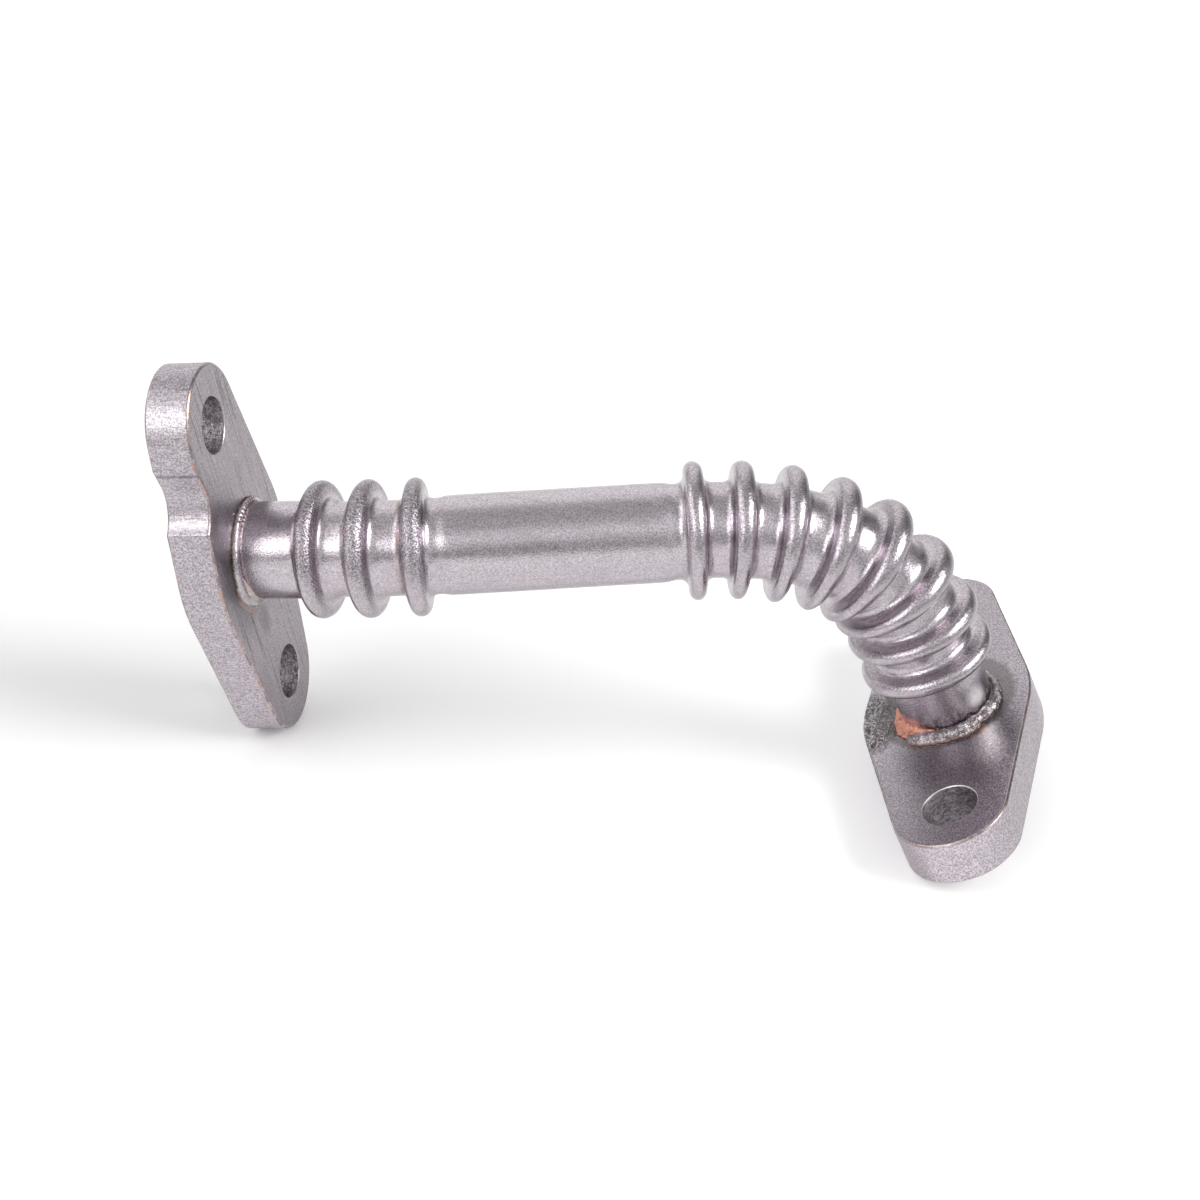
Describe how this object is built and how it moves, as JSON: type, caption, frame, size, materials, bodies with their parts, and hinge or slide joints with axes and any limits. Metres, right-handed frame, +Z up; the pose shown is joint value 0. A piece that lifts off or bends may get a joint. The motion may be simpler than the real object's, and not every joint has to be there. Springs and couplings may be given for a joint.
{
  "type": "turbo lubrication pipe",
  "caption": "Rigid convoluted steel pipe with a bolt flange at each end, carrying lubricating oil between an engine block and its turbocharger.",
  "frame": {"origin": "on the table under the middle of the box round the part as it lies at rest", "axes": "+X from the turbo flange to the engine flange, +Z up from the table on which the part lies"},
  "size_m": [0.1424, 0.0736, 0.0692],
  "materials": {
    "flange_steel": "blasted and ground mild steel",
    "tube_steel": "blasted stainless tube",
    "weld_metal": "bright weld metal",
    "copper_filler": "copper braze"
  },
  "bodies": {
    "root": {"turbo_flange": "flange_steel", "engine_flange": "flange_steel", "lubrication_tube": "tube_steel", "turbo_joint_ring": "weld_metal", "engine_joint_ring": "weld_metal", "engine_braze_fillet": "copper_filler"}
  },
  "joints": []
}
